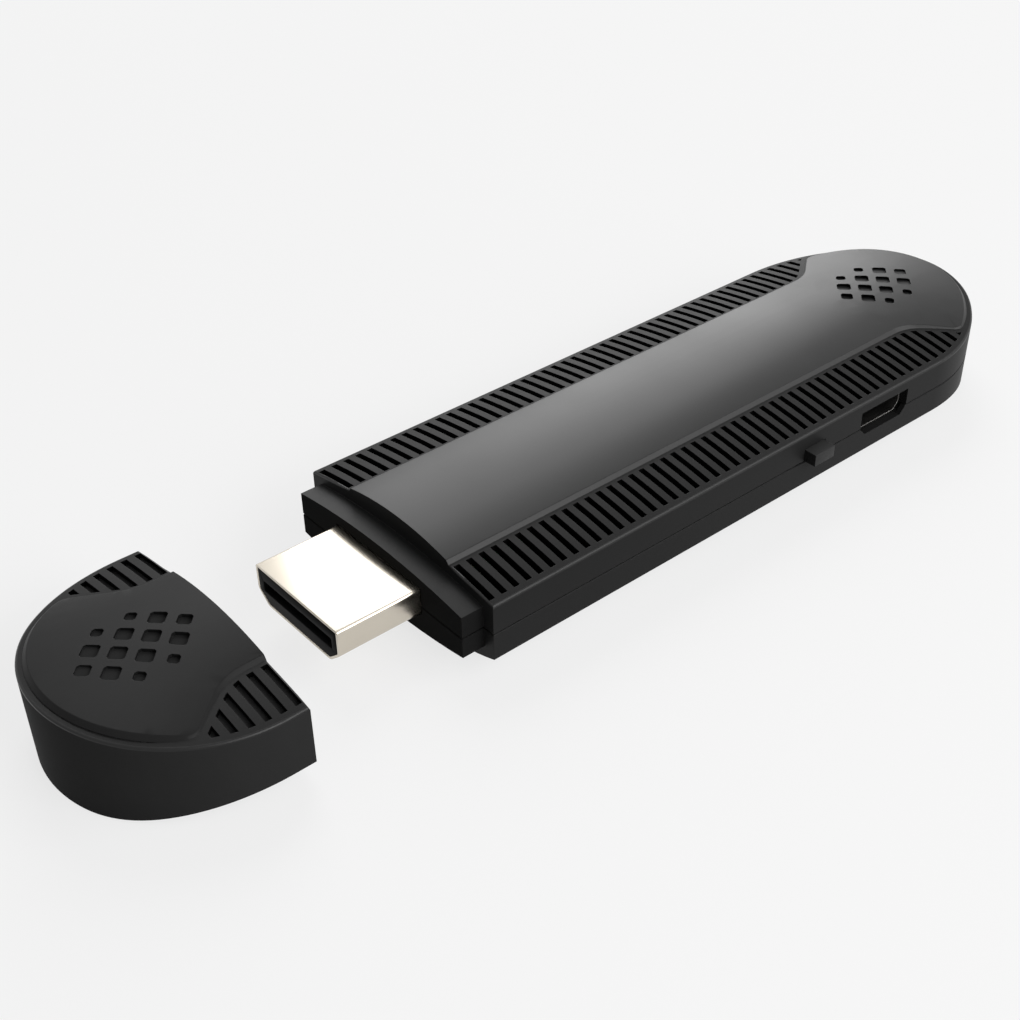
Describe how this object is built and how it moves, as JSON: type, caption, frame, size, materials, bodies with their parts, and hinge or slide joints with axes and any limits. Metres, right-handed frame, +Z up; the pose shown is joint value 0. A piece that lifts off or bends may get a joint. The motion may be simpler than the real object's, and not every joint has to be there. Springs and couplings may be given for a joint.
{
  "type": "wireless display dongle",
  "caption": "Stick-shaped wireless display dongle with a video plug on a stepped neck, slide-off cap, side button, side power socket and rows of vent slots.",
  "frame": {"origin": "middle of the underside's flat land, halfway between the stick's front face and its rounded tail", "axes": "+X along the stick to its rounded tail (the video plug and the cap are at -X), +Z up through the roof with the raised panel; the button and the power socket are at -Y"},
  "size_m": [0.1237, 0.0311, 0.0109],
  "materials": {
    "case_plastic": "black moulded plastic with a fine grain",
    "cap_plastic": "black moulded plastic with a fine grain",
    "plug_metal": "nickel plated sheet metal, slightly warm",
    "plug_core": "dark grey moulded core",
    "gold_contact": "gold plated contacts",
    "board_laminate": "dark green solder resist",
    "can_metal": "tinned sheet metal",
    "spreader_metal": "plain folded aluminium",
    "antenna_metal": "thin folded strip",
    "screw_steel": "zinc plated steel",
    "socket_metal": "bright tinned sheet metal",
    "socket_core": "black moulded tongue",
    "button_plastic": "black moulded key",
    "plunger_plastic": "pale moulded plunger",
    "switch_plastic": "black switch housing",
    "chip_package": "dark moulded packages",
    "thermal_rubber": "soft grey blue pad",
    "ferrite": "dark grey pressed ferrite",
    "ceramic": "tan ceramic bodies",
    "resistor_body": "black chip bodies"
  },
  "bodies": {
    "stick": {"upper_shell": "case_plastic", "lower_shell": "case_plastic", "hdmi_shell": "plug_metal", "hdmi_insulator": "plug_core", "hdmi_contacts": "gold_contact", "main_board": "board_laminate", "wifi_shield": "can_metal", "heat_spreader": "spreader_metal", "antenna": "antenna_metal", "board_screws": "screw_steel", "usb_shell": "socket_metal", "usb_tongue": "socket_core", "usb_contacts": "gold_contact", "switch_body": "switch_plastic", "soc_chip": "chip_package", "memory_chip": "chip_package", "flash_chip": "chip_package", "wifi_module": "chip_package", "thermal_pad": "thermal_rubber", "power_inductor": "ferrite", "power_regulator": "chip_package", "crystal_oscillator": "can_metal", "capacitors": "ceramic", "resistors": "resistor_body"},
    "cap": {"end_cap": "cap_plastic"},
    "button": {"mode_button": "button_plastic", "switch_plunger": "plunger_plastic"}
  },
  "joints": [
    {"name": "cap_slide", "type": "slide", "parent": "stick", "child": "cap", "axis": [1, 0, 0], "range_m": [0, 0.0205]},
    {"name": "button_press", "type": "slide", "parent": "stick", "child": "button", "axis": [0, 1, 0], "range_m": [0, 0.0003], "stiffness_N_per_m": 5000}
  ]
}
